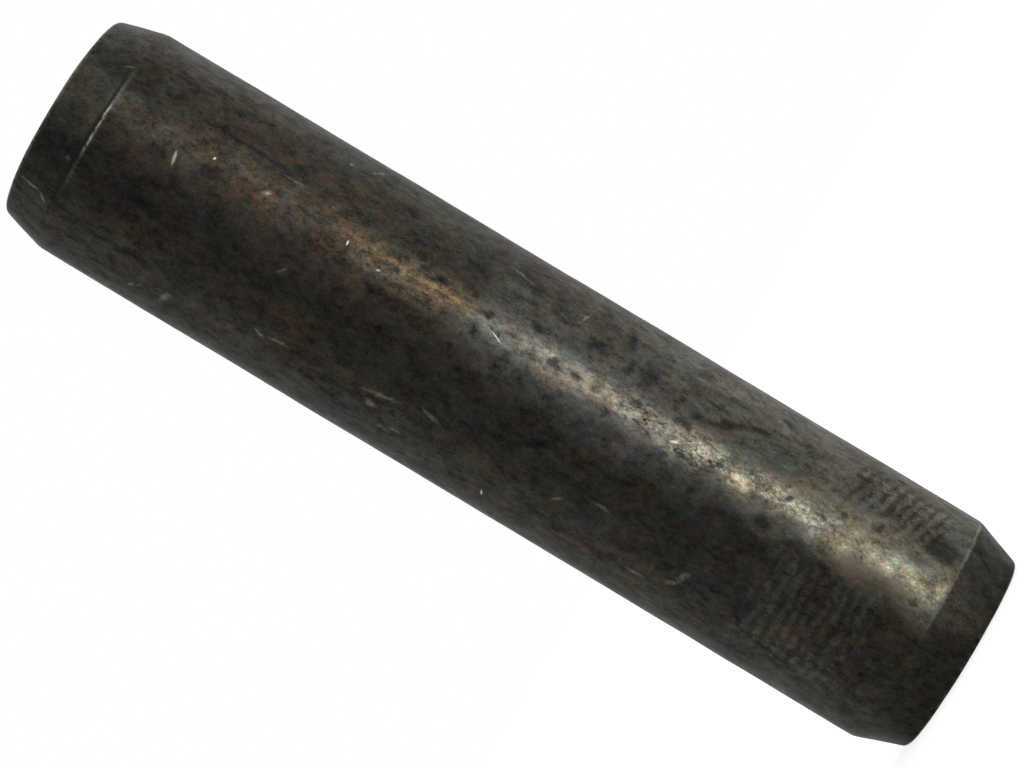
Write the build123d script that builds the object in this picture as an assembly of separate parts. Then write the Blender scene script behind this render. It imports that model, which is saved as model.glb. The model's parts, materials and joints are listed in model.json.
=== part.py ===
"""A slotted spring pin of the heavy kind, 10 mm nominal by 45 mm, in the free state before it is driven.

It is one piece: a strip of spring steel rolled up into an open tube. The two cut edges of the strip face
each other across a slot that runs from end to end, and both ends are pressed in to a short cone, so that
the pin finds its hole. The pressing also turns the bore in a little and closes the slot a little there.

The frame: the pin stands on one end, +Z runs up its axis, and the origin is on the axis in the plane of
the bottom end. The slot faces +Y. All sizes are in millimetres and degrees.
"""

from build123d import *
import math
import os

# The tube.
LENGTH = 45.0
FREE_DIAMETER = 10.7
WALL = 2.0
SLOT_WIDTH = 3.0  # straight across the mouth, at the barrel's outer surface

# The pressed ends. The two cones differ a little, as the two dies do.
TOP_CONE_LENGTH = 2.0
TOP_CONE_ANGLE = 16.8  # from the axis, on one side
BOTTOM_CONE_LENGTH = 2.2
BOTTOM_CONE_ANGLE = 19.8
TURN_IN = 0.2  # how much smaller the bore's radius is at an end
TURN_IN_LENGTH = 1.6

# The edges.
SHOULDER_ROUND = 1.0  # where a cone meets the barrel
RIM_ROUND = 0.32  # where a cone meets the flat end
BORE_RIM_ROUND = 0.2
BORE_BEND_ROUND = 3.0  # where the bore starts to turn in
STRIP_EDGE_ROUND = 0.25  # round both cut edges of the strip

SLOT_DIRECTION = 90.0  # about +Z, from +X

# Worked out from the sizes above.
OUTER_RADIUS = FREE_DIAMETER / 2
BORE_RADIUS = OUTER_RADIUS - WALL
HALF_SLOT_ANGLE = math.degrees(math.asin(SLOT_WIDTH / 2 / OUTER_RADIUS))
TOP_RIM_RADIUS = OUTER_RADIUS - TOP_CONE_LENGTH * math.tan(math.radians(TOP_CONE_ANGLE))
BOTTOM_RIM_RADIUS = OUTER_RADIUS - BOTTOM_CONE_LENGTH * math.tan(math.radians(BOTTOM_CONE_ANGLE))
TURNED_IN_RADIUS = BORE_RADIUS - TURN_IN


def wall_section():
    """One side of the tube cut along its axis: X is the radius and Z the height."""
    corners = {
        "bottom_rim": ((BOTTOM_RIM_RADIUS, 0), RIM_ROUND),
        "bottom_shoulder": ((OUTER_RADIUS, BOTTOM_CONE_LENGTH), SHOULDER_ROUND),
        "top_shoulder": ((OUTER_RADIUS, LENGTH - TOP_CONE_LENGTH), SHOULDER_ROUND),
        "top_rim": ((TOP_RIM_RADIUS, LENGTH), RIM_ROUND),
        "top_bore_rim": ((TURNED_IN_RADIUS, LENGTH), BORE_RIM_ROUND),
        "top_bend": ((BORE_RADIUS, LENGTH - TURN_IN_LENGTH), BORE_BEND_ROUND),
        "bottom_bend": ((BORE_RADIUS, TURN_IN_LENGTH), BORE_BEND_ROUND),
        "bottom_bore_rim": ((TURNED_IN_RADIUS, 0), BORE_RIM_ROUND),
    }
    section = make_face(Polyline(*[point for point, _ in corners.values()], close=True))
    for point, rounding in corners.values():
        corner = section.vertices().sort_by_distance(point)[0]
        section = fillet(corner, rounding)
    return Plane.XZ * section


def rolled_strip():
    """The section turned about the axis from one edge of the strip to the other, with its slot at +X."""
    turned = revolve(wall_section(), axis=Axis.Z, revolution_arc=360 - 2 * HALF_SLOT_ANGLE)
    return Rot(Z=HALF_SLOT_ANGLE) * turned


def strip_edge_loops(tube):
    """The edges round the two flat faces that look at each other across the slot."""
    faces = tube.faces().filter_by(GeomType.PLANE)
    cut_faces = [face for face in faces if abs(face.normal_at().Z) < 0.5]
    return ShapeList([edge for face in cut_faces for edge in face.outer_wire().edges()])


def spring_pin():
    tube = rolled_strip()
    tube = fillet(strip_edge_loops(tube), STRIP_EDGE_ROUND)
    return Rot(Z=SLOT_DIRECTION) * tube


def main():
    os.makedirs("parts", exist_ok=True)
    pin = spring_pin()
    export_step(pin, "parts/spring_pin.step")


main()
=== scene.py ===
"""Dresses a slotted spring pin: the rolled tube, its worn, heat-darkened steel, and the studio round it.

The pin stands on its bottom end at the origin, with +Z up its axis and its slot facing +Y. Its surface is
thought of as the strip that it was rolled from, laid flat again: across the strip in millimetres from the
line opposite the slot, positive towards +X, then the radius, then the height above the bottom end.
"""

import json
import math
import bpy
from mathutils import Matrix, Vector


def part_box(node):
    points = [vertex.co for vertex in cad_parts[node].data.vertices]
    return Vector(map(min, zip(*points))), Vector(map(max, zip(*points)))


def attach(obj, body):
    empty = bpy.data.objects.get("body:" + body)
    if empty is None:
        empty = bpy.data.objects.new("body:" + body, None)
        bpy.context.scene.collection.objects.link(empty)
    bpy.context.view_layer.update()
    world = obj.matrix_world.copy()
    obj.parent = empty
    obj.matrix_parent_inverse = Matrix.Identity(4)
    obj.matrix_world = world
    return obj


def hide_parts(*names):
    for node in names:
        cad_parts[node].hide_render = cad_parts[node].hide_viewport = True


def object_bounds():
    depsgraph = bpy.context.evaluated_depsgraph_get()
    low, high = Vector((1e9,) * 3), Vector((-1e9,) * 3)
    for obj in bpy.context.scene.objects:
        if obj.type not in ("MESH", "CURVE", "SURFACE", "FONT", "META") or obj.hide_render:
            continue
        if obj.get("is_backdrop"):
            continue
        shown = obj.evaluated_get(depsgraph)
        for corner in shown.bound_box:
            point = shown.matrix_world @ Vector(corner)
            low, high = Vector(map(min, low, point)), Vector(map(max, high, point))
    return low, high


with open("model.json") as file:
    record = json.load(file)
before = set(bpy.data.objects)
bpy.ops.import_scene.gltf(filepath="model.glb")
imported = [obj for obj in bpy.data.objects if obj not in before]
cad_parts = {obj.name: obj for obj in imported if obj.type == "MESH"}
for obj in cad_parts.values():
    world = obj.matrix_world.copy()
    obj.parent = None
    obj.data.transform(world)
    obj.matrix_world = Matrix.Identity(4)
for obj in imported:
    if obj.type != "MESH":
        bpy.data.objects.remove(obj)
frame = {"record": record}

from types import SimpleNamespace

import bmesh
import bpy
from bpy.props import FloatProperty, FloatVectorProperty, IntProperty, PointerProperty
from mathutils import Matrix, Vector

bl_info = {
    "name": "Slotted Spring Pin",
    "version": (1, 0, 0),
    "blender": (4, 5, 0),
    "location": "View3D > Sidebar > Spring Pin",
    "description": "Rolls a slotted spring pin of worn spring steel and sets a plain studio round it",
    "category": "Object",
}

NODE = "spring_pin"
LOW_CORNER, HIGH_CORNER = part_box(NODE)
MOUNTS = {mount["name"]: mount for mount in frame["record"]["mounts"]}
MM = 0.001
PER_METRE = 1000  # millimetres
SHANK_RADIUS = MOUNTS["shank"]["dims"]["r_mm"] / PER_METRE
BORE_RADIUS = MOUNTS["bore"]["dims"]["r_mm"] / PER_METRE


def linear(hex_colour):
    """The linear red, green and blue of an sRGB colour written as #rrggbb."""
    parts = [int(hex_colour[at:at + 2], 16) / 255 for at in (1, 3, 5)]
    return [part / 12.92 if part <= 0.04045 else ((part + 0.055) / 1.055) ** 2.4 for part in parts]


def length_property(name, description, default):
    return FloatProperty(name=name, description=description, default=default, unit="LENGTH", precision=5)


def colour_property(name, description, hex_colour):
    return FloatVectorProperty(
        name=name, description=description, default=linear(hex_colour), subtype="COLOR", min=0, max=1
    )


class PinSizes(bpy.types.PropertyGroup):
    """The sizes of the rolled strip and of its two pressed ends."""

    length: length_property("Length", "From end to end", HIGH_CORNER.z - LOW_CORNER.z)
    outer_radius: length_property("Outer radius", "Of the barrel before it is driven", SHANK_RADIUS)
    bore_radius: length_property("Bore radius", "Of the bore between its turned-in ends", BORE_RADIUS)
    slot_width: length_property("Slot width", "Straight across the slot's mouth", 3.0 * MM)
    top_cone_length: length_property("Top cone length", "Along the axis", 2.0 * MM)
    bottom_cone_length: length_property("Bottom cone length", "Along the axis", 2.2 * MM)
    top_cone_angle: FloatProperty(
        name="Top cone angle", description="Between the top cone and the axis", default=math.radians(16.8),
        subtype="ANGLE",
    )
    bottom_cone_angle: FloatProperty(
        name="Bottom cone angle", description="Between the bottom cone and the axis",
        default=math.radians(19.8), subtype="ANGLE",
    )
    turn_in: length_property("Turn-in", "How much narrower the bore's radius is at an end", 0.2 * MM)
    turn_in_length: length_property("Turn-in length", "How far the turn-in reaches up the bore", 1.6 * MM)
    shoulder_round: length_property("Shoulder rounding", "Where a cone meets the barrel", 1.0 * MM)
    rim_round: length_property("Rim rounding", "Where a cone meets the flat end", 0.32 * MM)
    bore_rim_round: length_property("Bore rim rounding", "Where the bore meets the flat end", 0.2 * MM)
    bore_bend_round: length_property("Bore bend rounding", "Where the bore starts to turn in", 3.0 * MM)
    edge_round: length_property("Strip edge rounding", "Round both cut edges of the strip", 0.25 * MM)
    columns: IntProperty(name="Columns", description="Of faces across the strip", default=216, min=24)
    row_pitch: length_property("Row pitch", "Height of a row of faces on the outside", 0.15 * MM)
    bore_row_pitch: length_property("Bore row pitch", "Height of a row of faces in the bore", 0.9 * MM)


class SteelFinish(bpy.types.PropertyGroup):
    """The colours of the layers on the steel."""

    scale: colour_property("Scale", "Black oxide left by hardening and tempering", "#373632")
    olive_scale: colour_property("Olive scale", "Thicker scale with a drab cast", "#3b3a30")
    brown_film: colour_property("Brown film", "Thin rust grown through the scale", "#40372f")
    blue_scale: colour_property("Blue scale", "Scale that kept its blue temper colour", "#353838")
    thick_film: colour_property("Thick film", "Rust on the side that was handled", "#3f403d")
    patchy_rust: colour_property("Patchy rust", "Where rust has broken through the film", "#5a4029")
    stained_film: colour_property("Stained film", "Oil baked onto that rust", "#444138")
    # Golden film: thin rust in blots, and along the upper end of the lamp's line also painted glints.
    golden_film: colour_property("Golden film", "Thin rust along the end of the rubbed line", "#766950")
    # Orange rust: rust colour in a narrow streak in the core of the lamp's line, lightened as a painted
    # highlight.
    orange_rust: colour_property("Orange rust", "Fresh rust in a streak beside it", "#99784c")
    red_rust: colour_property("Red rust", "Fresh rust in blots", "#4e372b")
    rust_grain: colour_property("Rust grain", "Yellow grains in the film", "#5e4a30")
    # Worn steel: rubbed scale, and on the top cone also a painted highlight.
    worn_steel: colour_property("Worn steel", "Where handling has rubbed the scale thin", "#5b5a52")
    rust_stain: colour_property("Rust stain", "Thin brown over the worn steel", "#5f5347")
    # Hazy steel: a painted highlight glow beside the key lamp's line.
    hazy_steel: colour_property("Hazy steel", "Smooth oxide beside the rubbed line", "#585755")
    # Straw-coloured and pale steel: partly temper colour and rubbed steel, partly a painted highlight along
    # the key lamp's line.
    straw_steel: colour_property("Straw-coloured steel", "Temper colour along the rubbed line", "#757061")
    pale_steel: colour_property("Pale steel", "Where the scale is rubbed thinnest", "#a39b83")
    charred_oil: colour_property("Charred oil", "Oil burnt on in the furnace", "#232527")
    rubbed_scale: colour_property("Rubbed scale", "Pale rubs, edges and the shoulder line", "#868177")
    bare_steel: colour_property("Bare steel", "In fresh nicks and scratches", "#c4bfb0")


class StudioSettings(bpy.types.PropertyGroup):
    """The camera, the lamps and the floor."""

    camera_distance: length_property("Camera distance", "From the pin's axis", 192.5 * MM)
    camera_height: length_property("Camera height", "Above the floor", 17.15 * MM)
    aim_height: length_property("Aim height", "The point on the axis that the camera looks at", 22.47 * MM)
    aim_side: length_property("Aim to the side", "How far past the axis the camera looks", 0.068 * MM)
    focal_length: FloatProperty(
        name="Focal length", description="Of the camera, on a 36 mm sensor", default=157.7, unit="CAMERA"
    )
    roll: FloatProperty(
        name="Roll", description="Of the camera about its own line of sight",
        default=math.radians(-59.05), subtype="ANGLE",
    )
    floor_colour: colour_property("Floor colour", "Of the pale floor", "#ebebe9")
    floor_size: length_property("Floor size", "Along one side", 3.0)
    key_power: FloatProperty(
        name="Key power", description="Of the narrow soft box", default=0.1, unit="POWER"
    )
    fill_power: FloatProperty(
        name="Fill power", description="Of the wide soft box", default=0.24, unit="POWER"
    )


SMOOTH = {"interpolation_type": "SMOOTHSTEP"}  # for a Map Range that starts and stops gently


def adder(tree):
    """The function that adds a node to a tree."""

    def add(kind, inputs=None, **settings):
        """A new node of that kind, written without ShaderNode and with its operation, as in "Math SINE".

        inputs gives its sockets, by number or name, a value, a socket or a node.
        """
        kind, *operation = kind.split()
        prefix = "" if kind.startswith(("GeometryNode", "NodeGroup")) else "ShaderNode"
        node = tree.nodes.new(prefix + kind)
        if operation:
            node.operation = operation[0]
        for name, value in settings.items():
            setattr(node, name, value)
        for key, value in (inputs or {}).items():
            source = value.outputs[0] if isinstance(value, bpy.types.Node) else value
            if isinstance(source, bpy.types.NodeSocket):
                tree.links.new(source, node.inputs[key])
            else:
                node.inputs[key].default_value = source
        return node

    return add


# The pin's shape


WALL_RINGS = 4  # of faces that close a cut face on the middle of the wall
ROUNDING_COLUMNS = 5  # of faces round the edge of a cut face
EDGE_COLUMNS = WALL_RINGS + ROUNDING_COLUMNS
ROUNDING_STEPS = 5  # in a rounded corner of the section
WALL_FILL = 0.93  # how far the last ring of a cut face closes on the middle of the wall
SHORTEST_RUN = 0.2 * MM  # a shorter one is a step of a rounding, and isn't divided
FEWEST_ROWS = 7  # in a straight run of the section
LIP_RUN = 0.5 * MM  # of fine rows on the barrel beside a shoulder
MERGE_DISTANCE = 1e-4 * MM


def section_curve(tree, add, given):
    """One side of the tube cut along its axis: the corners of its rims, and its outline in the XZ plane.

    The two corners with no rounding only divide the barrel, to give it fine rows beside its shoulders.
    """
    top_shoulder = add("Math SUBTRACT", {0: given.length, 1: given.top_cone_length})
    top_bend = add("Math SUBTRACT", {0: given.length, 1: given.turn_in_length})
    below_top_lip = add("Math SUBTRACT", {0: top_shoulder, 1: LIP_RUN})
    above_bottom_lip = add("Math", {0: given.bottom_cone_length, 1: LIP_RUN})
    corners = [
        (given.bottom_rim_radius, 0.0, given.rim_round),
        (given.outer_radius, given.bottom_cone_length, given.shoulder_round),
        (given.outer_radius, above_bottom_lip, None),
        (given.outer_radius, below_top_lip, None),
        (given.outer_radius, top_shoulder, given.shoulder_round),
        (given.top_rim_radius, given.length, given.rim_round),
        (given.turned_in_radius, given.length, given.bore_rim_round),
        (given.bore_radius, top_bend, given.bore_bend_round),
        (given.bore_radius, given.turn_in_length, given.bore_bend_round),
        (given.turned_in_radius, 0.0, given.bore_rim_round),
    ]
    index = add("GeometryNodeInputIndex")
    places = add("GeometryNodeIndexSwitch", {0: index}, data_type="VECTOR")
    rounds = add("GeometryNodeIndexSwitch", {0: index}, data_type="FLOAT")
    for switch in (places, rounds):
        while len(switch.index_switch_items) < len(corners):
            switch.index_switch_items.new()
    for number, (radius, height, rounding) in enumerate(corners, 1):
        place = add("CombineXYZ", {"X": radius, "Z": height})
        tree.links.new(place.outputs[0], places.inputs[number])
        if rounding:
            tree.links.new(rounding, rounds.inputs[number])
    points = add("GeometryNodeMeshLine", {"Count": len(corners)})
    placed = add("GeometryNodeSetPosition", {"Geometry": points, "Position": places})
    open_curve = add("GeometryNodeMeshToCurve", {"Mesh": placed})
    closed = add("GeometryNodeSetSplineCyclic", {"Geometry": open_curve, "Cyclic": True})
    rounded = add("GeometryNodeFilletCurve", {
        "Curve": closed, "Count": ROUNDING_STEPS, "Radius": rounds, "Limit Radius": True,
    }, mode="POLY")
    # The sharp corners are the four rims, which are rounded less than a shoulder is.
    is_round = add("Math GREATER_THAN", {0: rounds, 1: 0.0})
    is_tight = add("Math LESS_THAN", {0: rounds, 1: given.shoulder_round})
    is_rim = add("Math MULTIPLY", {0: is_round, 1: is_tight})
    rims = add("GeometryNodeSeparateGeometry", {"Geometry": placed, "Selection": is_rim})
    return rims, rounded


def divided(add, curve, given):
    """The section with its straight runs cut into rows, close on the outside and far apart in the bore."""
    here = add("GeometryNodeInputPosition")
    after = add("GeometryNodeOffsetPointInCurve", {"Offset": 1})
    next_place = add("GeometryNodeFieldAtIndex", {"Value": here, "Index": after.outputs[1]},
                     data_type="FLOAT_VECTOR")
    run = add("VectorMath DISTANCE", {0: here, 1: next_place}).outputs["Value"]
    radius = add("SeparateXYZ", {0: here}).outputs["X"]
    outside = add("Math GREATER_THAN", {0: radius, 1: given.middle_radius})
    pitch = add("Mix", {0: outside, 2: given.bore_row_pitch, 3: given.row_pitch})
    rows = add("Math DIVIDE", {0: run, 1: pitch})
    rows = add("Math MAXIMUM", {0: rows, 1: FEWEST_ROWS})
    straight = add("Math GREATER_THAN", {0: run, 1: SHORTEST_RUN})
    cuts = add("Math MULTIPLY", {0: rows, 1: straight})
    return add("GeometryNodeSubdivideCurve", {"Curve": curve, "Cuts": cuts})


# Hollows that the rolls and the furnace left: millimetres from one to the next, and the depth of each.
HOLLOWS = ((4.0, 0.06), (1.1, 0.016), (0.45, 0.008))
SHALLOWEST = 0.029  # millimetres taken off the sum of the hollows, so that the highest spots stay full
GROOVE_DEPTH = 0.04  # millimetres, under the lip that the pressing left on the top shoulder
GROOVE_ARC = 1.6  # millimetres across the strip from one deep stretch of the groove to the next
GROOVE_DROP = (-0.2, -0.08)  # millimetres above the shoulder, where the barrel drops into the groove
GROOVE_RISE = (0.1, 1.3)  # and where the groove comes back to the plain cone
GROOVE_NOISE = (0.35, 0.6)  # levels between which it grows from its shallowest to its full depth
SHALLOW_GROOVE = 0.35  # of the full depth
EDGE_WANDER = 0.06  # millimetres that the cut edges of the strip wander
EDGE_WAVES = 0.3  # of them to a millimetre


def hollow_depth(add, flat, given):
    """How far the surface has sunk below its plain form at a place on the flat strip, in millimetres."""
    depth = -SHALLOWEST
    for size, full_depth in HOLLOWS:
        noise = add("TexNoise", {"Vector": flat, "Scale": 1 / size, "Detail": 1.0})
        depth = add("Math MULTIPLY_ADD", {0: noise, 1: full_depth, 2: depth})
    depth = add("Math MAXIMUM", {0: depth, 1: 0.0})

    # Below the lip the cone is pressed in a little, then it comes back to its plain form.
    place = add("SeparateXYZ", {0: flat})
    shoulder = add("Math SUBTRACT", {0: given.length, 1: given.top_cone_length})
    shoulder = add("Math MULTIPLY", {0: shoulder, 1: 1 / MM})
    above = add("Math SUBTRACT", {0: place.outputs["Z"], 1: shoulder})
    drop = add("MapRange", {0: above, 1: GROOVE_DROP[0], 2: GROOVE_DROP[1]}, **SMOOTH)
    back = add("MapRange", {0: above, 1: GROOVE_RISE[0], 2: GROOVE_RISE[1], 3: 1, 4: 0}, **SMOOTH)
    stretch = add("CombineXYZ", {"X": place.outputs["X"]})
    stretch = add("TexNoise", {"Vector": stretch, "Scale": 1 / GROOVE_ARC, "Detail": 1.0})
    stretch = add("MapRange", {0: stretch, 1: GROOVE_NOISE[0], 2: GROOVE_NOISE[1], 3: SHALLOW_GROOVE, 4: 1})
    groove = add("Math MULTIPLY", {0: drop, 1: back})
    groove = add("Math MULTIPLY", {0: groove, 1: stretch})
    return add("Math MULTIPLY_ADD", {0: groove, 1: GROOVE_DEPTH, 2: depth})


def rolled_tree(values):
    """Geometry Nodes that sweep the section round the axis from one cut edge of the strip to the other.

    The tree has an input for each of the values, under its name.
    """
    tree = bpy.data.node_groups.new("rolled strip", "GeometryNodeTree")
    add = adder(tree)
    for name, value in values.items():
        kind = {float: "Float", int: "Int"}.get(type(value), "Material")
        tree.interface.new_socket(name=name.replace("_", " ").capitalize(), in_out="INPUT",
                                  socket_type="NodeSocket" + kind)
    tree.interface.new_socket(name="Geometry", in_out="OUTPUT", socket_type="NodeSocketGeometry")
    given = SimpleNamespace(**dict(zip(values, add("NodeGroupInput").outputs)))

    rims, rounded = section_curve(tree, add, given)
    section = divided(add, rounded, given)
    corner_distance = add("GeometryNodeProximity", {0: rims}, target_element="POINTS")
    section = add("GeometryNodeCaptureAttribute", {0: section})
    section.capture_items.new("VECTOR", "Place")
    section.capture_items.new("VECTOR", "Tangent")
    section.capture_items.new("FLOAT", "Corner Distance")
    tree.links.new(add("GeometryNodeInputPosition").outputs[0], section.inputs[1])
    tree.links.new(add("GeometryNodeInputTangent").outputs[0], section.inputs[2])
    tree.links.new(corner_distance.outputs["Distance"], section.inputs[3])

    columns = add("GeometryNodeMeshLine", {"Count": given.columns, "Offset": (0, 0, MM)})
    columns = add("GeometryNodeMeshToCurve", {"Mesh": columns})
    columns = add("GeometryNodeCaptureAttribute", {0: columns})
    columns.capture_items.new("INT", "Column")
    tree.links.new(add("GeometryNodeInputIndex").outputs[0], columns.inputs[1])
    swept = add("GeometryNodeCurveToMesh", {"Curve": columns, "Profile Curve": section, "Fill Caps": True})

    column, place = columns.outputs[1], section.outputs[1]
    last = add("Math SUBTRACT", {0: given.columns, 1: 1.0})
    from_end = add("Math SUBTRACT", {0: last, 1: column})
    inward = add("Math MINIMUM", {0: column, 1: from_end})
    fill = add("MapRange", {0: inward, 1: 0, 2: WALL_RINGS, 3: WALL_FILL, 4: 0})
    turn = add("MapRange", {0: inward, 1: WALL_RINGS, 2: EDGE_COLUMNS, 3: 0, 4: math.pi / 2})
    sine = add("Math SINE", {0: turn})
    cosine = add("Math COSINE", {0: turn})
    less_sine = add("Math SUBTRACT", {0: 1.0, 1: sine})
    less_cosine = add("Math SUBTRACT", {0: 1.0, 1: cosine})
    inset = add("Math MULTIPLY", {0: given.edge_round, 1: less_sine})
    setback = add("Math MULTIPLY", {0: given.edge_round, 1: less_cosine})

    # The middle of the wall, which the cut faces close on.
    half_wall = add("Math SUBTRACT", {0: given.outer_radius, 1: given.middle_radius})
    below_top = add("Math SUBTRACT", {0: given.length, 1: half_wall})
    height = add("SeparateXYZ", {0: place}).outputs["Z"]
    middle_height = add("Clamp", {0: height, 1: half_wall, 2: below_top})
    middle = add("CombineXYZ", {"X": given.middle_radius, "Z": middle_height})
    way_in = add("VectorMath SUBTRACT", {0: middle, 1: place})
    direction = add("VectorMath NORMALIZE", {0: way_in})
    step_in = add("VectorMath SCALE", {0: direction, "Scale": inset})
    inset_place = add("VectorMath ADD", {0: place, 1: step_in})
    filled = add("Mix", {0: fill, 4: inset_place, 5: middle}, data_type="VECTOR")
    filled_place = add("SeparateXYZ", {0: filled.outputs[1]})
    radius, height = filled_place.outputs["X"], filled_place.outputs["Z"]

    # The angle about the axis: nothing opposite the slot, positive towards +X.
    last_open = add("Math SUBTRACT", {0: last, 1: EDGE_COLUMNS})
    across = add("MapRange", {0: column, 1: EDGE_COLUMNS, 2: last_open, 3: -1, 4: 1})
    side = add("Math SIGN", {0: across})
    along_edge = add("CombineXYZ", {"X": side, "Z": height})
    wander = add("TexNoise", {"Vector": along_edge, "Scale": EDGE_WAVES / MM, "Detail": 1.0})
    setback = add("Math MULTIPLY_ADD", {0: wander, 1: EDGE_WANDER * MM, 2: setback})
    setback_angle = add("Math DIVIDE", {0: setback, 1: radius})
    sweep = add("Math SUBTRACT", {0: given.half_sweep, 1: setback_angle})
    angle = add("Math MULTIPLY", {0: across, 1: sweep})

    # The same place on the strip laid flat, which the hollows and the finish follow.
    arc = add("Math MULTIPLY", {0: angle, 1: given.outer_radius})
    flat = add("CombineXYZ", {"X": arc, "Y": radius, "Z": height})
    flat = add("VectorMath SCALE", {0: flat, "Scale": 1 / MM})
    open_face = add("Math SUBTRACT", {0: 1.0, 1: fill})
    depth = add("Math MULTIPLY", {0: hollow_depth(add, flat, given), 1: MM})
    depth = add("Math MULTIPLY", {0: depth, 1: open_face})
    tangent = add("SeparateXYZ", {0: section.outputs[2]})
    inward = add("Math MULTIPLY", {0: depth, 1: tangent.outputs["Z"]})
    radius = add("Math SUBTRACT", {0: radius, 1: inward})
    height = add("Math MULTIPLY_ADD", {0: depth, 1: tangent.outputs["X"], 2: height})

    east = add("Math SINE", {0: angle})
    south = add("Math COSINE", {0: angle})
    x = add("Math MULTIPLY", {0: radius, 1: east})
    south_radius = add("Math MULTIPLY", {0: radius, 1: -1.0})
    y = add("Math MULTIPLY", {0: south_radius, 1: south})
    final = add("CombineXYZ", {"X": x, "Y": y, "Z": height})
    shaped = add("GeometryNodeSetPosition", {"Geometry": swept, "Position": final})

    # The distance from the nearest edge, where handling wears the scale: a rim or a cut edge.
    length_across = add("Math MULTIPLY", {0: given.half_sweep, 1: given.outer_radius})
    from_cut = add("Math ABSOLUTE", {0: arc})
    from_cut = add("Math SUBTRACT", {0: length_across, 1: from_cut})
    from_cut = add("Math MULTIPLY_ADD", {0: fill, 1: half_wall, 2: from_cut})
    from_edge = add("Math MINIMUM", {0: from_cut, 1: section.outputs[3]})
    from_edge = add("Math MULTIPLY", {0: from_edge, 1: 1 / MM})

    for name, kind, value in (("strip", "FLOAT_VECTOR", flat), ("edge_distance", "FLOAT", from_edge)):
        shaped = add("GeometryNodeStoreNamedAttribute",
                     {"Geometry": shaped, "Name": name, "Value": value}, data_type=kind, domain="POINT")

    smooth = add("GeometryNodeSetShadeSmooth", {"Geometry": shaped, "Shade Smooth": True})
    real = add("GeometryNodeRealizeInstances", {"Geometry": smooth})
    made = add("GeometryNodeSetMaterial", {"Geometry": real, "Material": given.material})
    add("NodeGroupOutput", {"Geometry": made})
    return tree


def rolled_pin(sizes, material):
    """The pin as a plain mesh object, made by the tree of nodes."""
    values = {name: getattr(sizes, name) for name in PinSizes.__annotations__}
    slot_width, turn_in = values.pop("slot_width"), values.pop("turn_in")
    top_slope, bottom_slope = (math.tan(values.pop(end + "_cone_angle")) for end in ("top", "bottom"))
    values |= {
        "middle_radius": (sizes.outer_radius + sizes.bore_radius) / 2,
        "turned_in_radius": sizes.bore_radius - turn_in,
        "top_rim_radius": sizes.outer_radius - sizes.top_cone_length * top_slope,
        "bottom_rim_radius": sizes.outer_radius - sizes.bottom_cone_length * bottom_slope,
        "half_sweep": math.pi - math.asin(slot_width / 2 / sizes.outer_radius),
        "material": material,
    }
    carrier = bpy.data.objects.new("carrier", bpy.data.meshes.new("carrier"))
    bpy.context.scene.collection.objects.link(carrier)
    modifier = carrier.modifiers.new("rolled strip", "NODES")
    modifier.node_group = rolled_tree(values)
    sockets = [item for item in modifier.node_group.interface.items_tree if item.in_out == "INPUT"]
    for socket, value in zip(sockets, values.values()):
        modifier[socket.identifier] = value
    evaluated = carrier.evaluated_get(bpy.context.evaluated_depsgraph_get())
    mesh = bpy.data.meshes.new_from_object(evaluated)
    bpy.data.objects.remove(carrier)

    shell = bmesh.new()
    shell.from_mesh(mesh)
    bmesh.ops.remove_doubles(shell, verts=shell.verts, dist=MERGE_DISTANCE)
    bmesh.ops.recalc_face_normals(shell, faces=shell.faces)
    shell.to_mesh(mesh)
    shell.free()
    pin = bpy.data.objects.new("rolled_pin", mesh)
    bpy.context.scene.collection.objects.link(pin)
    return pin


# The steel's finish


# Marks placed one by one on the flat strip. A row gives the millimetres across the strip and down from the
# top end, the mark's length and width and, where it has one, its turn in degrees.

# Fresh nicks where another part has knocked through to bright steel.
NICKS = (
    (0.91, 5.67, 0.56, 0.12, 78), (1.8, 7.12, 0.14, 0.09, -60), (1.62, 13.72, 0.22, 0.08, 84),
    (1.28, 15.42, 0.16, 0.08, -15), (1.4, 21.15, 0.6, 0.045, 24), (1.5, 29.72, 0.32, 0.1, -20),
    (-5.42, 23.85, 0.3, 0.08, 76),
)
# Pale rubs, where something has slid along the scale without cutting through it.
RUBS = (
    (-5.15, 8.1, 0.76, 0.22, -74), (-5.56, 6.55, 0.5, 0.13, -62), (-5.35, 6.85, 0.4, 0.07, -60),
    (-4.66, 31.05, 0.66, 0.08, -7), (4.5, 23.85, 0.8, 0.11, -74), (-4.1, 17.95, 0.36, 0.3),
    (-5.05, 18.9, 0.5, 0.22), (-4.76, 19.4, 0.5, 0.13, -4), (-3.42, 18.1, 1.3, 0.15, -11),
    (-3.93, 12.42, 0.5, 0.14, 22), (-3.8, 13.3, 0.9, 0.1, -8), (-3.5, 32.95, 0.66, 0.26, -66),
    (-4.02, 32.68, 0.42, 0.18, -32), (-3.0, 20.4, 0.8, 0.17, 14), (-0.85, 11.95, 0.4, 0.1, -48),
    (6.1, 13.2, 0.7, 0.1, -52), (2.82, 10.4, 1.1, 0.08, -2), (1.7, 9.78, 0.4, 0.16, -35),
    (2.66, 12.45, 0.36, 0.1, 10), (5.45, 12.0, 0.28, 0.1, -80), (4.9, 20.7, 1.1, 0.1, 15),
    (-2.52, 28.5, 0.6, 0.13, 4), (-3.3, 26.75, 0.4, 0.1, -35), (-1.4, 1.8, 0.2, 0.2),
    (3.52, 1.97, 0.38, 0.13, -24), (-3.62, 0.9, 0.9, 0.08, -4), (-3.76, 1.55, 0.5, 0.11, 35),
    (9.2, 15.4, 1.4, 0.12, -9), (12.6, 31.8, 0.9, 0.16, -28), (13.9, 9.6, 0.5, 0.24, -60),
    (-9.8, 24.3, 1.6, 0.12, 6), (-12.9, 12.2, 0.7, 0.24, -70), (-13.8, 36.6, 0.8, 0.16, 18),
)
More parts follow.
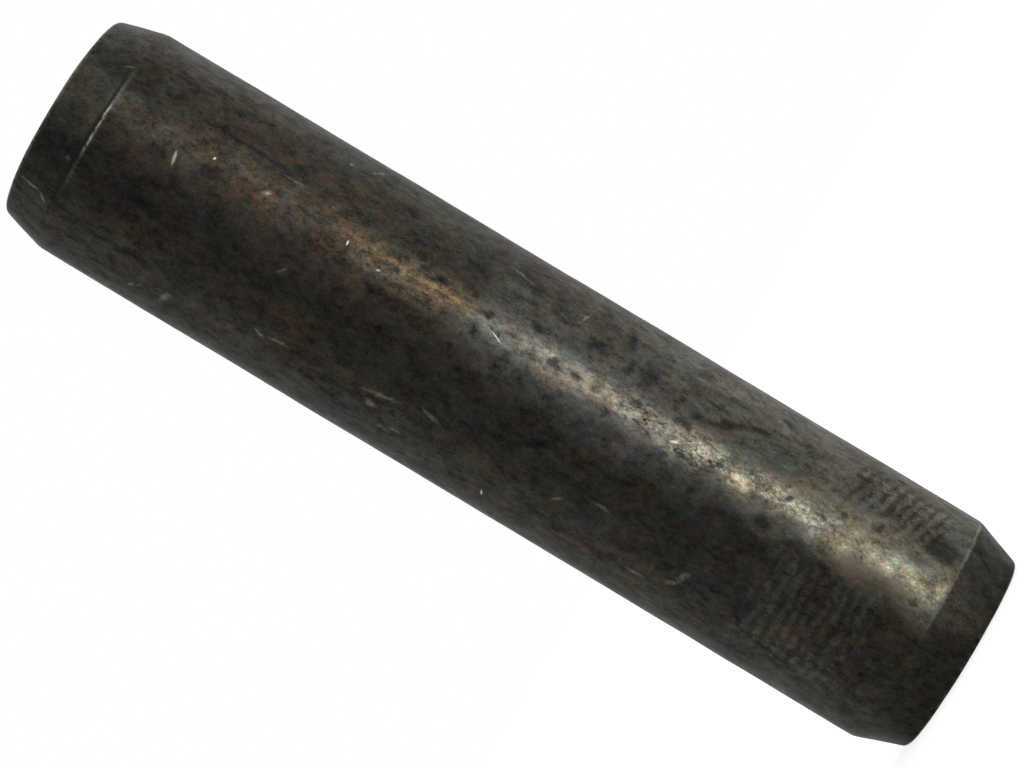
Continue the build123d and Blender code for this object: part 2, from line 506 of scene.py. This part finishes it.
# Charred oil: long streaks and blots.
STREAKS = (
    (3.12, 8.2, 5.0, 0.28), (-3.9, 5.7, 2.8, 0.24), (-1.5, 5.3, 2.6, 0.45, 4), (0.55, 15.8, 1.3, 0.34),
    (-1.85, 24.5, 1.8, 0.4, -36), (-4.05, 17.0, 5.5, 0.18, -14), (-3.1, 34.2, 3.0, 0.3),
    (-3.2, 35.6, 1.0, 0.85), (-4.5, 37.4, 3.6, 0.24, 9), (-3.6, 30.4, 1.8, 0.5, -10), (4.1, 30.6, 1.2, 0.2),
    (3.55, 31.4, 2.2, 0.36, -26), (4.2, 32.4, 0.8, 0.35), (3.1, 30.0, 0.6, 0.45), (3.6, 27.4, 0.75, 1.3),
    (3.3, 26.5, 0.45, 0.7), (3.5, 24.9, 0.8, 0.55), (4.9, 26.1, 0.36, 1.4, -12), (1.25, 7.25, 1.0, 0.6),
    (3.45, 10.35, 0.6, 0.45), (2.28, 17.1, 0.46, 0.36), (2.35, 17.9, 0.56, 0.45), (2.3, 15.75, 0.56, 0.36),
    (2.8, 16.7, 0.38, 0.34), (2.1, 20.4, 0.4, 0.34), (1.8, 23.7, 0.6, 0.4), (1.8, 24.75, 0.6, 0.4),
    (2.1, 27.6, 0.7, 0.45), (2.9, 38.85, 0.5, 0.5), (-3.6, 2.1, 2.0, 0.3), (3.6, 41.7, 1.5, 1.2),
    (0.4, 34.6, 0.8, 0.6), (0.35, 36.3, 1.2, 0.5), (2.33, 16.3, 0.35, 0.3), (1.64, 16.1, 0.4, 0.3),
    (-0.05, 13.5, 0.45, 0.45), (-0.3, 14.4, 0.5, 0.4), (1.14, 20.2, 0.45, 0.45), (2.83, 22.35, 0.5, 0.45),
    (-5.42, 21.2, 0.35, 0.4), (-5.36, 22.35, 0.35, 0.45), (2.5, 29.8, 0.8, 0.35, 20),
    (5.15, 28.0, 0.3, 0.3), (0.08, 31.3, 0.45, 0.35), (2.0, 35.1, 0.3, 0.25), (2.02, 36.6, 0.35, 0.25),
    (10.6, 26.3, 4.2, 0.34, 3), (13.2, 20.1, 1.2, 0.8), (8.9, 37.2, 0.9, 0.7), (-8.9, 34.6, 3.4, 0.3, -6),
    (-11.4, 17.2, 1.1, 0.9), (-13.6, 28.0, 2.6, 0.34, 8),
)
# Thin golden rust, in blots.
GOLDEN_BLOTS = ((0.6, 1.8, 0.3, 0.8), (1.25, 0.9, 1.5, 0.7), (1.7, 26.1, 1.1, 1.1))
# Fresh rust, in blots.
RUST = (
    (-2.3, 13.2, 2.6, 0.8), (-2.9, 6.0, 2.4, 1.0), (-1.1, 27.1, 0.8, 0.6), (-3.1, 38.2, 1.6, 1.0),
    (2.6, 40.9, 0.9, 0.4, 12), (3.3, 31.2, 1.8, 0.4, -26), (0.8, 39.6, 3.4, 1.1),
)

MIDDLE_LEVEL = 0.5  # of a noise
SPOT_EDGE = (1.3, 0.5)  # radii, from where a spot starts to where it is full
STRIPE_EDGE = 0.8  # of the wave on each side, between which a stripe fades in
DRAWN_OUT = 1.6  # how many times as long as wide the grains of the scale are
LIGHTNESS_SPREAD = 3.5  # how much lighter or darker they are
DARKEST = 0.25  # grain, beside a plain one
WARMTH_SPREAD = 1.0  # how much warmer or colder they are
GREEN_SPREAD = 0.55  # how much greener or more purple they are
DULLNESS = 0.08  # how much rougher a black grain is than a plain one
GRAIN_SIZE = 0.7  # millimetres, of the largest
TINT_SIZE = 1.5  # millimetres, of the largest patches of a tint
PLAIN_ROUGHNESS = 0.42  # of the bare scale
BUMP_SIZE = 0.4  # millimetres, of the largest bumps
BUMP_HEIGHT = 0.013 * MM
GRAZING_TINT = (0.61, 0.61, 0.61, 1)  # how bright the steel mirrors at a grazing angle

# Waves that push places about, so that borders run unevenly: their size and reach in millimetres.
WAVES = {
    "loose": (1.6, 0.8),
    "uneven": (0.5, 0.3),
    "ragged": (0.5, 0.07),
    "rolled": (1.4, 0.3),
    "spotted": (0.3, 0.2),
    "rubbed": (0.15, 0.1),
    "knocked": (0.2, 0.03),
}


class Places(dict):
    """Places on the flat strip and distances on it, in millimetres, each made when first asked for.

    "loose" is a place pushed about by those waves, "loose down" its distance down from the top end, and
    "across" the plain distance across the strip.
    """

    def __init__(self, add, length):
        super().__init__()
        self.add, self.length = add, length / MM
        self["strip"] = add("Attribute", attribute_name="strip").outputs["Vector"]
        self["from edge"] = add("Attribute", attribute_name="edge_distance").outputs["Fac"]
        # The rolls drew the grains of the scale out along the strip.
        self["drawn"] = add("VectorMath MULTIPLY", {0: self["strip"], 1: (1, 1, 1 / DRAWN_OUT)})

    def __missing__(self, name):
        if name in WAVES:
            self[name] = warped(self.add, self["strip"], *WAVES[name])
        else:
            *kind, axis = name.split()
            place = self.add("SeparateXYZ", {0: self[kind[0] if kind else "strip"]})
            self[name] = place.outputs["X"]
            if axis == "down":
                self[name] = self.add("Math SUBTRACT", {0: self.length, 1: place.outputs["Z"]})
        return self[name]


def warped(add, strip, size, reach):
    """The same places, pushed about by up to a reach in millimetres."""
    noise = add("TexNoise", {"Vector": strip, "Scale": 1 / size, "Detail": 2.0})
    push = add("VectorMath SUBTRACT", {0: noise.outputs["Color"], 1: (MIDDLE_LEVEL,) * 3})
    push = add("VectorMath SCALE", {0: push, "Scale": 2 * reach})
    return add("VectorMath ADD", {0: strip, 1: push})


def band(add, coordinate, start, end, fade):
    """Full from start to end of a coordinate in millimetres, and fading out beyond them."""
    rise = add("MapRange", {0: coordinate, 1: start - fade, 2: start}, **SMOOTH)
    fall = add("MapRange", {0: coordinate, 1: end, 2: end + fade, 3: 1, 4: 0}, **SMOOTH)
    return add("Math MULTIPLY", {0: rise, 1: fall})


def product(add, masks):
    """High where every mask is high."""
    total = masks[0]
    for mask in masks[1:]:
        total = add("Math MULTIPLY", {0: total, 1: mask})
    return total


def patches(add, places, at, size, low, high, detail=5.0):
    """Uneven patches of that size in millimetres and finer; low and high set how much they cover."""
    noise = add("TexNoise", {"Vector": places[at], "Scale": 1 / size, "Detail": detail, "Roughness": 1.0})
    return add("MapRange", {0: noise, 1: low, 2: high}, **SMOOTH)


def spots(add, places, at, pitch, radius, share):
    """Round spots, one to a cell of that pitch in millimetres, in a share of the cells."""
    cells = add("TexVoronoi", {"Vector": places[at], "Scale": 1 / pitch})
    start, full = (edge * radius / pitch for edge in SPOT_EDGE)
    near = add("MapRange", {0: cells.outputs["Distance"], 1: start, 2: full}, **SMOOTH)
    draw = add("SeparateXYZ", {0: cells.outputs["Color"]})
    chosen = add("Math LESS_THAN", {0: draw, 1: share})
    return add("Math MULTIPLY", {0: near, 1: chosen})


def stripes(add, places, at, pitch, slant):
    """Bands a pitch in millimetres apart, which climb by slant for each millimetre across the strip."""
    across, down = places[at + " across"], places[at + " down"]
    slanted = add("Math MULTIPLY_ADD", {0: across, 1: slant, 2: down})
    turns = add("Math MULTIPLY", {0: slanted, 1: math.tau / pitch})
    wave = add("Math SINE", {0: turns})
    return add("MapRange", {0: wave, 1: -STRIPE_EDGE, 2: STRIPE_EDGE}, **SMOOTH)


def cracks(add, places, at, size, squeeze, width):
    """Thin cracks where a noise, squeezed down the strip so that it draws out, crosses its middle level."""
    drawn = add("VectorMath MULTIPLY", {0: places[at], 1: (1, 1, squeeze)})
    noise = add("TexNoise", {"Vector": drawn, "Scale": 1 / size, "Detail": 2.0})
    away = add("Math SUBTRACT", {0: noise, 1: MIDDLE_LEVEL})
    away = add("Math ABSOLUTE", {0: away})
    return add("MapRange", {0: away, 1: width, 2: 0.0}, **SMOOTH)


def marks(add, places, at, rows, edge):
    """Full on listed oval marks, with an edge that is a share of their size."""
    total = 0.0
    for across, down, length, width, *turn in rows:
        level = places.length - down
        wide, high = 2 / width, 2 / length
        place = places[at]
        if turn:
            place = add("VectorRotate", {
                "Vector": place, "Center": (across, 0, level), "Angle": -math.radians(turn[0]),
            }, rotation_type="Y_AXIS")
        place = add("VectorMath MULTIPLY_ADD", {
            0: place, 1: (wide, 0, high), 2: (-across * wide, 0, -level * high),
        })
        away = add("VectorMath LENGTH", {0: place}).outputs["Value"]
        near = add("MapRange", {0: away, 1: 1 + edge, 2: 1 - edge}, **SMOOTH)
        total = add("Math MAXIMUM", {0: near, 1: total})
    return total


# Patterns by name: what draws each, the place on the strip that it follows, and its own values.
PATTERNS = {
    "film": (patches, "drawn", 0.5, 0.28, 0.62),
    "broken film": (patches, "drawn", 0.55, 0.47, 0.55, 4.0),
    "worn": (patches, "drawn", 0.8, 0.2, 0.6),
    "bright": (patches, "drawn", 0.3, 0.2, 0.62),
    "flecks": (patches, "drawn", 0.7, 0.46, 0.62),
    "cracks": (cracks, "strip", 0.8, 0.35, 0.017),
    "rusty": (patches, "drawn", 0.35, 0.43, 0.55),
    "broken gold": (patches, "drawn", 0.6, 0.41, 0.53),
    "fresh rust": (marks, "uneven", RUST, 0.9),
    "brown dashes": (stripes, "rolled", 0.5, -0.3),
    "pale stripes": (stripes, "rolled", 0.5, 0.04),
    "broken stripes": (patches, "strip", 0.8, 0.4, 0.5, 3.0),
    "oil specks": (spots, "strip", 0.4, 0.07, 0.5),
    "oil spots": (spots, "spotted", 0.8, 0.2, 0.4),
    "oil streaks": (marks, "uneven", STREAKS, 0.65),
    "worn cone": (patches, "drawn", 0.6, 0.1, 0.45),
    "golden blots": (marks, "uneven", GOLDEN_BLOTS, 0.9),
    "rubbed edge": (patches, "strip", 0.25, 0.46, 0.6, 3.0),
    "dotted": (patches, "strip", 0.25, 0.3, 0.5, 2.0),
    "rubs": (marks, "rubbed", RUBS, 0.9),
    "ragged": (patches, "strip", 0.25, 0.34, 0.56),
    "nicks": (marks, "knocked", NICKS, 0.6),
}
# Areas by name: the distances that set each, then where along each distance the area starts and ends, and
# how far it fades out beyond.
LOOSE, PLAIN, RAGGED = ("loose down", "loose across"), ("down", "across"), ("ragged down", "across")
AREAS = {
    "cold side": (["loose across"], (-9.0, -5.6, 1.5)),
    "handled side": (LOOSE, (7.5, 15.0, 6.5), (0.6, 3.2, 2.0)),
    "outer wear": (LOOSE, (33.0, 46.0, 14.0), (3.2, 9.0, 2.2)),
    "inner wear": (LOOSE, (21.5, 41.0, 3.5), (1.0, 3.6, 1.3)),
    "far wear": (LOOSE, (14.0, 30.0, 9.0), (-13.2, -11.0, 2.2)),
    "haze": (LOOSE, (21.5, 30.0, 2.5), (0.4, 2.4, 1.5)),
    "line": (LOOSE, (25.5, 41.0, 7.0), (1.5, 2.0, 0.85)),
    "broad line": (LOOSE, (37.5, 42.3, 4.5), (1.25, 2.5, 1.2)),
    "end of line": (LOOSE, (38.8, 42.5, 2.5), (1.25, 2.5, 1.2)),
    "core of line": (LOOSE, (31.0, 42.0, 3.5), (1.45, 1.8, 0.5)),
    "cracked line": (LOOSE, (27.5, 31.5, 1.5), (1.5, 2.0, 0.85)),
    "grainy film": (LOOSE, (7.5, 16.0, 4.0), (1.0, 2.6, 1.0)),
    "golden line": (LOOSE, (14.8, 18.3, 2.2), (1.4, 2.3, 0.9)),
    "orange line": (["loose down", "across"], (14.8, 18.3, 2.2), (1.93, 2.0, 0.22)),
    "dashed side": (PLAIN, (37.4, 41.2, 0.9), (4.0, 5.7, 1.0)),
    "striped side": (PLAIN, (36.2, 40.2, 1.0), (-4.2, -0.4, 1.0)),
    "top cone": (["down"], (-1.0, 2.05, 0.1)),
    "bottom cone": (["down"], (42.85, 46.0, 0.1)),
    "handled cone": (["down", "loose across"], (-1.0, 2.05, 0.1), (0.1, 2.2, 1.7)),
    "cold cone": (["down", "loose across"], (-1.0, 2.05, 0.1), (-1.3, -0.1, 0.7)),
    "edges": (["from edge"], (-1.0, 0.06, 0.14)),
    "groove": (PLAIN, (2.06, 2.06, 0.13), (-4.6, 3.2, 0.7)),
    "top die line": (RAGGED, (2.26, 2.26, 0.16), (-2.2, 3.0, 0.9)),
    "bright die line": (RAGGED, (2.24, 2.24, 0.08), (-0.5, 1.0, 0.6)),
    "bottom die line": (RAGGED, (42.74, 42.74, 0.12), (4.0, 6.8, 1.0)),
}
# The coats on the scale, from the bottom up: the masks that all have to be high, how much of the coat shows
# there, its colour in the finish, how rough it is and, where it isn't all metal, how metallic.
COATS = (
    (["olive"], 1.0, "olive_scale", 0.45),
    (["brown"], 0.55, "brown_film", 0.5, 0.9),
    (["blue"], 0.6, "blue_scale", 0.4),
    (["cold side"], 0.2, "blue_scale", 0.4),
    # A dark film over the upper part, thickest along the side that was handled, with rust breaking through.
    (["handled side", "film"], 1.0, "thick_film", 0.52, 0.8),
    (["handled side", "olive"], 0.5, "stained_film", 0.48, 0.9),
    (["handled side", "broken film"], 0.45, "patchy_rust", 0.5, 0.75),
    # Rubbed thin to grey steel over the lower part of the side that faces +X, and a little on the far side.
    (["outer wear", "worn"], 1.0, "worn_steel", 0.42),
    (["inner wear", "worn"], 1.0, "worn_steel", 0.4),
    (["outer wear", "brown"], 0.14, "rust_stain", 0.46, 0.9),
    (["far wear", "worn"], 0.6, "worn_steel", 0.4),
    # Painted highlight glow: a light smooth grey beside the lamp's line, fading out as the highlight would.
    (["haze"], 0.6, "hazy_steel", 0.4),
    # The line where the key lamp's highlight falls: straw and pale colours that are partly rubbed steel and
    # partly a painted highlight. It is wider and paler towards the bottom end, where the lamp's reflection
    # falls short, with pale specks as painted glints and dark cracks along it.
    (["line", "bright"], 0.75, "straw_steel", 0.34),
    (["broad line", "bright"], 0.9, "straw_steel", 0.35),
    (["end of line", "bright"], 0.3, "pale_steel", 0.35),
    (["core of line", "flecks"], 0.42, "pale_steel", 0.34),
    (["cracked line", "cracks"], 0.9, "brown_film", 0.5),
    # Yellow grains in the film; golden rust and an orange streak along the upper end of the line, lightened
    # as painted glints where the lamp's highlight falls; and fresh rust in blots.
    (["grainy film", "rusty"], 0.17, "rust_grain", 0.46, 0.8),
    (["golden line", "broken gold"], 0.45, "golden_film", 0.42, 0.7),
    (["orange line", "rusty"], 0.3, "orange_rust", 0.4, 0.6),
    (["fresh rust", "rusty"], 0.65, "red_rust", 0.45, 0.8),
    # Chatter marks of the rolls: broken brown dashes on one side, pale stripes on the other.
    (["brown dashes", "dashed side", "broken stripes"], 0.85, "brown_film", 0.5),
    (["pale stripes", "striped side", "broken stripes"], 0.37, "worn_steel", 0.42),
    (["oil specks"], 0.5, "charred_oil", 0.45),
    (["oil spots"], 0.55, "charred_oil", 0.42),
    (["oil streaks"], 0.72, "charred_oil", 0.45),
    # The plain grey cones. The top one is lightened with worn steel colour as a painted highlight, where
    # the key lamp's reflection misses it, beside a colder stretch.
    (["top cone"], 0.7, "scale", 0.44),
    (["bottom cone"], 0.7, "scale", 0.44),
    (["handled cone", "worn cone"], 0.9, "worn_steel", 0.42),
    (["cold cone"], 0.5, "blue_scale", 0.42),
    (["golden blots"], 0.28, "golden_film", 0.42, 0.7),
    (["edges", "rubbed edge"], 0.7, "rubbed_scale", 0.42),
    # The groove under the top shoulder, darkened with charred oil colour as painted shade; the lines that
    # the dies left on the shoulders; and the pale rubs.
    (["groove"], 0.5, "charred_oil", 0.5),
    (["top die line", "dotted"], 0.25, "rubbed_scale", 0.36),
    (["bright die line", "dotted"], 0.9, "bare_steel", 0.36),
    (["bottom die line", "dotted"], 0.6, "rubbed_scale", 0.36),
    (["rubs", "ragged"], 0.64, "rubbed_scale", 0.42),
)
NICK_COAT = (["nicks"], 0.78, "bare_steel", 0.35)
# Tints of the scale, and the two levels of their noise between which each fades in.
TINTS = {"olive": (0.42, 0.62), "brown": (0.44, 0.6), "blue": (0.48, 0.64)}


class Masks(dict):
    """Where the coats lie, as masks by name, each made when a coat first asks for it."""

    def __init__(self, add, places):
        super().__init__()
        self.add, self.places = add, places
        noise = add("TexNoise", {
            "Vector": places["drawn"], "Scale": 1 / TINT_SIZE, "Detail": 5.0, "Roughness": 0.95,
        })
        noise = add("SeparateXYZ", {0: noise.outputs["Color"]})
        for level, (name, (low, high)) in zip(noise.outputs, TINTS.items()):
            self[name] = add("MapRange", {0: level, 1: low, 2: high})

    def __missing__(self, name):
        if name in AREAS:
            distances, *runs = AREAS[name]
            bands = [band(self.add, self.places[along], *run) for along, run in zip(distances, runs)]
            self[name] = product(self.add, bands)
        else:
            draw, at, *values = PATTERNS[name]
            self[name] = draw(self.add, self.places, at, *values)
        return self[name]


def lay(add, steel, masks, finish, coat):
    """The look of the steel with one more coat over it."""
    names, share, colour, roughness, metallic = coat if len(coat) == 5 else (*coat, 1.0)
    cover = product(add, [masks[name] for name in names] + [share])
    colour = (*getattr(finish, colour), 1)
    mixed = add("Mix", {0: cover, 6: steel["colour"], 7: colour}, data_type="RGBA")
    return {
        "colour": mixed.outputs[2],
        "roughness": add("Mix", {0: cover, 2: steel["roughness"], 3: roughness}),
        "metallic": add("Mix", {0: cover, 2: steel["metallic"], 3: metallic}),
    }


def grained(add, places, steel):
    """The look of the steel with its grains.

    Every size of grain, down to a twentieth of a millimetre, is about as much lighter or darker than its
    neighbours, and a little warmer or colder and greener or more purple, on rubbed steel too.
    """
    grains = add("TexNoise", {
        "Vector": places["drawn"], "Scale": 1 / GRAIN_SIZE, "Detail": 4.0, "Roughness": 1.0,
    })
    grains = add("SeparateXYZ", {0: grains.outputs["Color"]})
    lightness = add("Math MULTIPLY_ADD", {
        0: grains.outputs["X"], 1: LIGHTNESS_SPREAD, 2: 1 - LIGHTNESS_SPREAD / 2,
    })
    lightness = add("Math MAXIMUM", {0: lightness, 1: DARKEST})
    hue = add("VectorMath MULTIPLY_ADD", {
        0: grains.outputs["Y"], 1: (WARMTH_SPREAD, 0, -WARMTH_SPREAD),
        2: (1 - WARMTH_SPREAD / 2, 1 - GREEN_SPREAD / 2, 1 + WARMTH_SPREAD / 2),
    })
    hue = add("VectorMath MULTIPLY_ADD", {0: grains.outputs["Z"], 1: (0, GREEN_SPREAD, 0), 2: hue})
    tint = add("VectorMath SCALE", {0: hue, "Scale": lightness})
    dullness = add("Math MULTIPLY_ADD", {0: lightness, 1: -DULLNESS, 2: DULLNESS})
    return {
        "colour": add("VectorMath MULTIPLY", {0: steel["colour"], 1: tint}),
        "roughness": add("Math", {0: steel["roughness"], 1: dullness}),
        "metallic": steel["metallic"],
    }


def tempered_steel(finish, sizes):
    """Tempered spring steel, rolled, hardened and quenched in oil.

    The eye sees a dark satin scale with a brown film of rust through it, rubbed thin to grey steel along
    one side, with spots and streaks of charred oil and a few bright nicks. Along the key lamp's line,
    beside it and on the top cone, the colour is lightened as a painted highlight, and the groove under the
    top shoulder is darkened as painted shade.
    """
    material = bpy.data.materials.new("tempered_spring_steel_oil_quenched")
    material.use_nodes = True
    tree = material.node_tree
    tree.nodes.clear()
    add = adder(tree)
    places = Places(add, sizes.length)
    masks = Masks(add, places)
    steel = {"colour": (*finish.scale, 1), "roughness": PLAIN_ROUGHNESS, "metallic": 1.0}
    for coat in COATS:
        steel = lay(add, steel, masks, finish, coat)
    steel = grained(add, places, steel)
    steel = lay(add, steel, masks, finish, NICK_COAT)

    grain = add("TexNoise", {
        "Vector": places["drawn"], "Scale": 1 / BUMP_SIZE, "Detail": 4.0, "Roughness": 0.7,
    })
    bump = add("Bump", {"Strength": 1.0, "Distance": BUMP_HEIGHT, "Height": grain})
    shader = add("BsdfPrincipled", {
        "Base Color": steel["colour"], "Metallic": steel["metallic"], "Roughness": steel["roughness"],
        "Specular Tint": GRAZING_TINT, "Normal": bump,
    })
    add("OutputMaterial", {"Surface": shader})
    return material


# The studio


ROOM_LEVEL = 0.27  # of the room on the camera's side, where the white sweep is 1
PLAIN_LEVEL = 0.6  # of the white sweep as it lights dull surfaces
FLOOR_GLOW = 0.75  # of the paper, beside the light that it gets
ROOM_SPAN = (-0.7, 0.5)  # of a direction's Y, from the room on the camera's side to the sweep
SENSOR_WIDTH = 36.0  # millimetres
SIGHT = (0.01, 20.0)  # metres, from the nearest that the camera sees to the farthest
LIT_HEIGHT = 20 * MM  # the point on the axis that the soft boxes face
# The soft boxes: degrees from the camera's side towards +X, then millimetres from the axis and above the
# floor, and the box's own width and height.
LAMPS = {"key": (38, 250, 45, 40, 90), "fill": (130, 300, 150, 260, 290)}


def look_at(camera, place, target, roll):
    """Puts the camera at a place, turned to look at the target and rolled about its line of sight."""
    forward = (target - place).normalized()
    level = forward.cross(Vector((0, 0, 1))).normalized()
    up = level.cross(forward)
    right = level * math.cos(roll) + up * math.sin(roll)
    top = up * math.cos(roll) - level * math.sin(roll)
    camera.matrix_world = Matrix((right, top, -forward)).transposed().to_4x4()
    camera.location = place


def set_camera(settings):
    camera = bpy.data.objects.new("camera", bpy.data.cameras.new("camera"))
    bpy.context.scene.collection.objects.link(camera)
    camera.data.sensor_width = SENSOR_WIDTH
    camera.data.lens = settings.focal_length
    camera.data.clip_start, camera.data.clip_end = SIGHT
    place = Vector((0, -settings.camera_distance, settings.camera_height))
    target = Vector((settings.aim_side, 0, settings.aim_height))
    look_at(camera, place, target, settings.roll)
    bpy.context.scene.camera = camera


def sweep_level(add, direction, plain):
    """How bright the white surroundings are in a direction: 1 for the camera and for reflections.

    Towards the camera's side the room is dimmer than the sweep, and the pin shows it. Other rays get the
    plain level.
    """
    path = add("LightPath")
    mirrored = add("Math MAXIMUM", {
        0: path.outputs["Is Glossy Ray"], 1: path.outputs["Is Transmission Ray"],
    })
    along = add("SeparateXYZ", {0: direction}).outputs["Y"]
    room = add("MapRange", {0: along, 1: ROOM_SPAN[0], 2: ROOM_SPAN[1], 3: ROOM_LEVEL, 4: 1.0}, **SMOOTH)
    plain_room = add("Math MULTIPLY", {0: room, 1: plain})
    level = add("Mix", {0: mirrored, 2: plain_room, 3: room})
    return add("Mix", {0: path.outputs["Is Camera Ray"], 2: level, 3: 1.0})


def set_world():
    """White for the camera and for reflections, plain soft light for the rest."""
    world = bpy.data.worlds.new("white sweep")
    bpy.context.scene.world = world
    world.use_nodes = True
    tree = world.node_tree
    tree.nodes.clear()
    add = adder(tree)
    direction = add("TexCoord").outputs["Generated"]
    level = sweep_level(add, direction, PLAIN_LEVEL)
    light = add("Background", {"Color": (1, 1, 1, 1), "Strength": level})
    add("OutputWorld", {"Surface": light})


def add_lamp(name, power):
    """A soft box that faces the pin."""
    azimuth, *lengths = LAMPS[name]
    distance, height, *size = (value * MM for value in lengths)
    turn = math.radians(azimuth)
    place = Vector((math.sin(turn) * distance, -math.cos(turn) * distance, height))
    lamp = bpy.data.lights.new(name, "AREA")
    lamp.shape = "RECTANGLE"
    lamp.size, lamp.size_y = size
    lamp.energy = power
    box = bpy.data.objects.new(name, lamp)
    bpy.context.scene.collection.objects.link(box)
    away = (place - Vector((0, 0, LIT_HEIGHT))).normalized()
    across = Vector((0, 0, 1)).cross(away).normalized()
    upward = away.cross(across)
    box.matrix_world = Matrix((across, upward, away)).transposed().to_4x4()
    box.location = place
    box.visible_camera = False


def add_floor(settings):
    """A pale floor, which the camera sees as white apart from the pin's shadow."""
    half = settings.floor_size / 2
    mesh = bpy.data.meshes.new("floor")
    mesh.from_pydata([(-half, -half, 0), (half, -half, 0), (half, half, 0), (-half, half, 0)], [],
                     [(0, 1, 2, 3)])
    floor = bpy.data.objects.new("floor", mesh)
    bpy.context.scene.collection.objects.link(floor)
    material = bpy.data.materials.new("matt_white_paper_sweep")
    material.use_nodes = True
    tree = material.node_tree
    tree.nodes.clear()
    add = adder(tree)
    paper = add("BsdfDiffuse", {"Color": (*settings.floor_colour, 1)})
    direction = add("VectorMath NORMALIZE", {0: add("TexCoord").outputs["Object"]})
    level = sweep_level(add, direction, 0.0)
    level = add("Math MULTIPLY", {0: level, 1: FLOOR_GLOW})
    glow = add("Emission", {"Color": (1, 1, 1, 1), "Strength": level})
    both = add("AddShader", {0: paper, 1: glow})
    add("OutputMaterial", {"Surface": both})
    mesh.materials.append(material)
    floor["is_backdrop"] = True


class PIN_OT_roll(bpy.types.Operator):
    """Rolls the slotted pin and gives it its steel finish"""

    bl_idname = "spring_pin.roll"
    bl_label = "Roll the Pin"

    def execute(self, context):
        scene = context.scene
        material = tempered_steel(scene.steel_finish, scene.pin_sizes)
        pin = rolled_pin(scene.pin_sizes, material)
        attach(pin, "root")
        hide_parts(NODE)
        return {"FINISHED"}


class PIN_OT_studio(bpy.types.Operator):
    """Sets the floor, the lamps, the white surroundings and the camera"""

    bl_idname = "spring_pin.studio"
    bl_label = "Set the Studio"

    def execute(self, context):
        settings = context.scene.studio_settings
        context.scene.view_settings.view_transform = "Standard"
        set_world()
        add_floor(settings)
        add_lamp("key", settings.key_power)
        add_lamp("fill", settings.fill_power)
        set_camera(settings)
        return {"FINISHED"}


class PIN_PT_panel(bpy.types.Panel):
    """Lists the pin's operators and values"""

    bl_idname = "PIN_PT_panel"
    bl_label = "Spring Pin"
    bl_space_type = "VIEW_3D"
    bl_region_type = "UI"
    bl_category = "Spring Pin"

    def draw(self, context):
        for operator in (PIN_OT_roll, PIN_OT_studio):
            self.layout.operator(operator.bl_idname)
        for group in (context.scene.pin_sizes, context.scene.steel_finish, context.scene.studio_settings):
            box = self.layout.box()
            for name in group.__annotations__:
                box.prop(group, name)


CLASSES = (PinSizes, SteelFinish, StudioSettings, PIN_OT_roll, PIN_OT_studio, PIN_PT_panel)
GROUPS = {"pin_sizes": PinSizes, "steel_finish": SteelFinish, "studio_settings": StudioSettings}


def register():
    for item in CLASSES:
        bpy.utils.register_class(item)
    for name, group in GROUPS.items():
        setattr(bpy.types.Scene, name, PointerProperty(type=group))


def unregister():
    for name in GROUPS:
        delattr(bpy.types.Scene, name)
    for item in reversed(CLASSES):
        bpy.utils.unregister_class(item)


def main():
    cad_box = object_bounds()
    register()
    bpy.ops.spring_pin.roll()
    bpy.ops.spring_pin.studio()
    boxes = {"cad": cad_box, "visual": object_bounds()}
    plain = {name: [[float(number) for number in corner] for corner in box] for name, box in boxes.items()}


if __name__ == "__main__":
    main()
